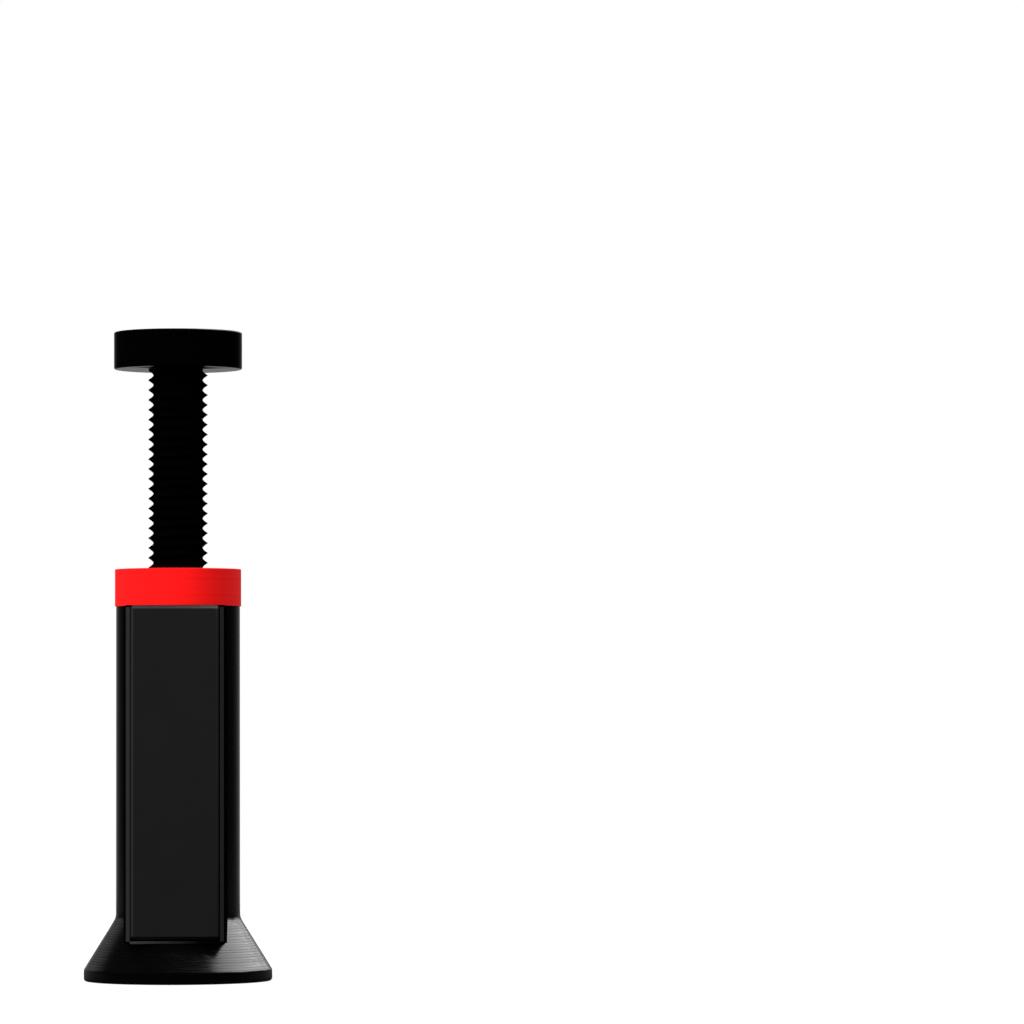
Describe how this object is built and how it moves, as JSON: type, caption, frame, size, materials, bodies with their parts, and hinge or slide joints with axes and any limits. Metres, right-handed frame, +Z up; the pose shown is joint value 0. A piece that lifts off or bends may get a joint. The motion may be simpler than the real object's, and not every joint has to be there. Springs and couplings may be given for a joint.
{
  "type": "graphics card support bracket",
  "caption": "Adjustable screw jack that props up a graphics card: round flared foot, column with a flat front plate, ring nut on top, and a threaded screw with a disc head.",
  "frame": {"origin": "centre of the foot's underside", "axes": "+Z up along the screw's axis, the flat front plate faces -Y, +X to the right seen from the front"},
  "size_m": [0.038, 0.038, 0.131],
  "materials": {
    "base": "black printed plastic with fine horizontal layer lines and a satin sheen",
    "front_plate": "smooth matte dark grey plastic, blank",
    "adjusting_nut": "bright red printed plastic with fine layer lines",
    "lift_screw": "black printed plastic"
  },
  "bodies": {
    "base": {"base": "base", "front_plate": "front_plate"},
    "nut": {"adjusting_nut": "adjusting_nut"},
    "screw": {"lift_screw": "lift_screw"}
  },
  "joints": [
    {"name": "nut_turn", "type": "hinge", "parent": "base", "child": "nut", "pos_m": [0, 0, 0.0755], "axis": [0, 0, 1], "range_deg": [-2520, 7200]},
    {"name": "screw_lift", "type": "slide", "parent": "base", "child": "screw", "axis": [0, 0, 1], "range_m": [-0.04, 0.014]}
  ],
  "couplings": [
    {"joint": "nut_turn", "follows": "screw_lift", "rad_per_m": -3141.6}
  ]
}
